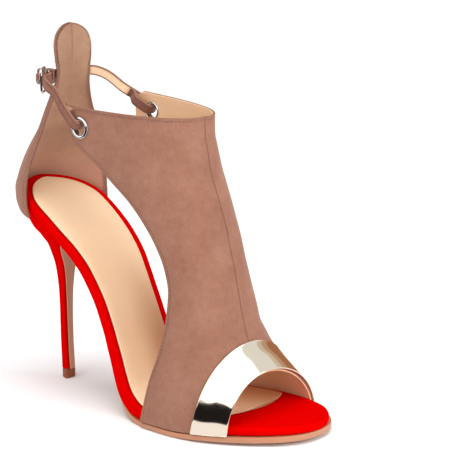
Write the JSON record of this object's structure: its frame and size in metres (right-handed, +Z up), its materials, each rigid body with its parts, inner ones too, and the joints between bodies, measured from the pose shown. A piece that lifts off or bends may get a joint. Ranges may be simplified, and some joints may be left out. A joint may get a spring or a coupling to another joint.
{
  "type": "strappy high heel sandal",
  "caption": "Right high heel sandal: open-toe suede vamp with a mirror toe band, cut-out sides, a tall heel tab and a buckled ankle strap that holds the foot.",
  "frame": {"origin": "middle of the heel tip's foot, on the floor", "axes": "+X towards the toe, +Y towards the inner side of the foot, +Z up"},
  "size_m": [0.2022, 0.0798, 0.206],
  "materials": {
    "suede": "taupe suede with a short soft nap",
    "lining_leather": "smooth beige lining leather, low sheen",
    "red_suede": "red suede, matte",
    "mirror_gold": "pale gold mirror foil on leather",
    "sole_leather": "natural sole leather, burnished edge",
    "tip_rubber": "hard brown top piece",
    "polished_metal": "polished silver metal"
  },
  "bodies": {
    "root": {"outsole": "sole_leather", "insole_board": "red_suede", "sock_lining": "lining_leather", "heel": "red_suede", "heel_tip": "tip_rubber", "vamp": "suede", "toe_band": "mirror_gold", "counter": "suede", "eyelet_outer": "polished_metal", "eyelet_inner": "polished_metal", "ankle_strap": "suede", "buckle_strap": "suede", "buckle_frame": "polished_metal", "buckle_prong": "polished_metal", "keeper_loop": "suede", "tab_loop": "suede"}
  },
  "joints": []
}
